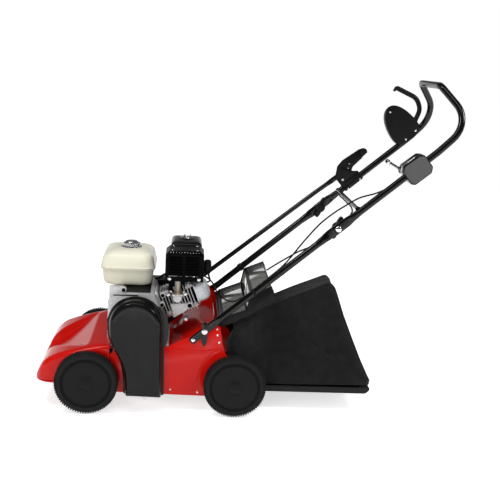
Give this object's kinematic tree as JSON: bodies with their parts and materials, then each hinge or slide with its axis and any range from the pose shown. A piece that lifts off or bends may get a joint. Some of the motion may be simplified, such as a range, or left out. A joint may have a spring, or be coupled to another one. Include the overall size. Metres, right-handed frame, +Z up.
{
  "type": "lawn scarifier",
  "caption": "Walk-behind petrol lawn scarifier with a belt-driven knife rotor, a cranked front axle for depth, a folding handle and a rear collection bag.",
  "frame": {"origin": "centre of the bounding box's base, on the ground between the wheels", "axes": "nose to -X, operator behind it at +X, the machine's left side to -Y, +Z up"},
  "size_m": [1.3043, 0.542, 1.0732],
  "materials": {
    "red_paint": "high gloss enamel",
    "black_paint": "gloss powder coat",
    "black_plastic": "satin moulded",
    "tyre_rubber": "matt",
    "hub_plastic": "matt moulded",
    "cast_aluminium": "cast, lightly blasted",
    "bright_steel": "zinc plated",
    "cream_paint": "gloss enamel",
    "black_metal": "satin black",
    "exhaust_steel": "heat tinted",
    "bag_cloth": "woven",
    "belt_rubber": "matt",
    "cable_plastic": "satin sheath"
  },
  "bodies": {
    "chassis": {"left_side_plate": "red_paint", "right_side_plate": "red_paint", "engine_deck": "red_paint", "front_hood": "red_paint", "rear_axle": "bright_steel", "rotor_bearing_left": "bright_steel", "rotor_bearing_right": "bright_steel", "belt_backplate": "black_paint", "belt_cover": "black_plastic", "drive_belt": "belt_rubber", "crankcase": "cast_aluminium", "cylinder": "cast_aluminium", "valve_cover": "cast_aluminium", "spark_plug_cap": "black_plastic", "exhaust_pipe": "exhaust_steel", "muffler": "exhaust_steel", "muffler_guard": "black_metal", "fuel_tank": "cream_paint", "carburettor": "cast_aluminium", "air_cleaner_base": "black_plastic", "air_cleaner_cover": "black_plastic", "flywheel_cover": "black_metal", "recoil_starter": "black_metal", "lower_handle_left": "black_paint", "lower_handle_right": "black_paint", "fold_bolt_left": "bright_steel", "fold_bolt_right": "bright_steel", "throttle_cable": "cable_plastic", "clutch_cable": "cable_plastic"},
    "axle_crank": {"front_axle": "bright_steel"},
    "front_left_wheel": {"front_left_tyre": "tyre_rubber", "front_left_hub": "hub_plastic"},
    "front_right_wheel": {"front_right_tyre": "tyre_rubber", "front_right_hub": "hub_plastic"},
    "rear_left_wheel": {"rear_left_tyre": "tyre_rubber", "rear_left_hub": "hub_plastic"},
    "rear_right_wheel": {"rear_right_tyre": "tyre_rubber", "rear_right_hub": "hub_plastic"},
    "rotor": {"rotor_shaft": "black_metal", "knife_stack": "bright_steel", "rotor_pulley": "cast_aluminium"},
    "engine_shaft": {"crankshaft": "bright_steel", "engine_pulley": "cast_aluminium"},
    "tension_arm": {"idler_arm": "bright_steel"},
    "tension_wheel": {"idler_pulley": "black_plastic"},
    "handle": {"upper_handle": "black_paint", "crossbar": "black_paint", "lever_bracket": "black_plastic", "clutch_housing": "black_plastic", "control_box": "black_plastic"},
    "height_lever": {"depth_lever": "black_plastic"},
    "height_rod": {"depth_rod": "black_paint"},
    "bail": {"clutch_lever": "black_plastic"},
    "speed_lever": {"throttle_lever": "black_plastic"},
    "flap": {"rear_flap": "black_plastic"},
    "catcher": {"bag_fabric": "bag_cloth", "bag_tray": "black_plastic"},
    "rope_grip": {"starter_grip": "black_plastic"},
    "filler_cap": {"fuel_cap": "bright_steel"},
    "choke": {"choke_lever": "black_plastic"}
  },
  "joints": [
    {"name": "front_axle_pivot", "type": "hinge", "parent": "chassis", "child": "axle_crank", "pos_m": [-0.5372, 0, 0.109], "axis": [0, -1, 0], "range_deg": [0, 30]},
    {"name": "depth_rod_hinge", "type": "hinge", "parent": "axle_crank", "child": "height_rod", "pos_m": [-0.54729, 0.224, 0.12391], "axis": [0, -1, 0], "range_deg": [-30, 0]},
    {"name": "depth_lever_hinge", "type": "hinge", "parent": "handle", "child": "height_lever", "pos_m": [0.3533, 0.211, 0.7119], "axis": [0, -1, 0], "range_deg": [0, 30]},
    {"name": "front_left_wheel_spin", "type": "hinge", "parent": "axle_crank", "child": "front_left_wheel", "pos_m": [-0.486, -0.25, 0.09945], "axis": [0, 1, 0], "continuous": true},
    {"name": "front_right_wheel_spin", "type": "hinge", "parent": "axle_crank", "child": "front_right_wheel", "pos_m": [-0.486, 0.25, 0.09945], "axis": [0, 1, 0], "continuous": true},
    {"name": "rear_left_wheel_spin", "type": "hinge", "parent": "chassis", "child": "rear_left_wheel", "pos_m": [-0.0205, -0.25, 0.09945], "axis": [0, 1, 0], "continuous": true},
    {"name": "rear_right_wheel_spin", "type": "hinge", "parent": "chassis", "child": "rear_right_wheel", "pos_m": [-0.0205, 0.25, 0.09945], "axis": [0, 1, 0], "continuous": true},
    {"name": "rotor_spin", "type": "hinge", "parent": "chassis", "child": "rotor", "pos_m": [-0.306, 0, 0.098], "axis": [0, 1, 0], "continuous": true},
    {"name": "engine_spin", "type": "hinge", "parent": "chassis", "child": "engine_shaft", "pos_m": [-0.339, 0, 0.282], "axis": [0, 1, 0], "continuous": true},
    {"name": "idler_arm_hinge", "type": "hinge", "parent": "chassis", "child": "tension_arm", "pos_m": [-0.324, -0.224, 0.238], "axis": [0, -1, 0], "range_deg": [0, 9]},
    {"name": "idler_pulley_spin", "type": "hinge", "parent": "tension_arm", "child": "tension_wheel", "pos_m": [-0.318, -0.238, 0.196], "axis": [0, 1, 0], "continuous": true},
    {"name": "handle_fold", "type": "hinge", "parent": "chassis", "child": "handle", "pos_m": [0.2795, 0, 0.6115], "axis": [0, 1, 0], "range_deg": [0, 90], "deforming": ["throttle_cable", "clutch_cable"]},
    {"name": "clutch_lever_hinge", "type": "hinge", "parent": "handle", "child": "bail", "pos_m": [0.586, 0.212, 0.918], "axis": [0, 1, 0], "range_deg": [0, 12], "stiffness_Nm_per_rad": 8},
    {"name": "throttle_lever_hinge", "type": "hinge", "parent": "handle", "child": "speed_lever", "pos_m": [0.4682, -0.183, 0.798], "axis": [0, 1, 0], "range_deg": [-20, 20]},
    {"name": "rear_flap_hinge", "type": "hinge", "parent": "chassis", "child": "flap", "pos_m": [-0.078, 0, 0.2805], "axis": [0, -1, 0], "range_deg": [0, 45]},
    {"name": "bag_slide", "type": "slide", "parent": "chassis", "child": "catcher", "axis": [0.9659, 0, 0.2588], "range_m": [0, 0.15]},
    {"name": "starter_pull", "type": "slide", "parent": "chassis", "child": "rope_grip", "axis": [-0.8829, 0, 0.4695], "range_m": [0, 0.25], "stiffness_N_per_m": 15},
    {"name": "fuel_cap_lift", "type": "slide", "parent": "chassis", "child": "filler_cap", "axis": [0, 0, 1], "range_m": [0, 0.03]},
    {"name": "choke_hinge", "type": "hinge", "parent": "chassis", "child": "choke", "pos_m": [-0.162, 0.035, 0.415], "axis": [0, 1, 0], "range_deg": [-20, 20]}
  ],
  "couplings": [
    {"joint": "depth_lever_hinge", "follows": "front_axle_pivot", "ratio": 1},
    {"joint": "depth_rod_hinge", "follows": "front_axle_pivot", "ratio": -1},
    {"joint": "engine_spin", "follows": "rotor_spin", "ratio": 1.1154},
    {"joint": "idler_arm_hinge", "follows": "clutch_lever_hinge", "ratio": 0.75}
  ]
}
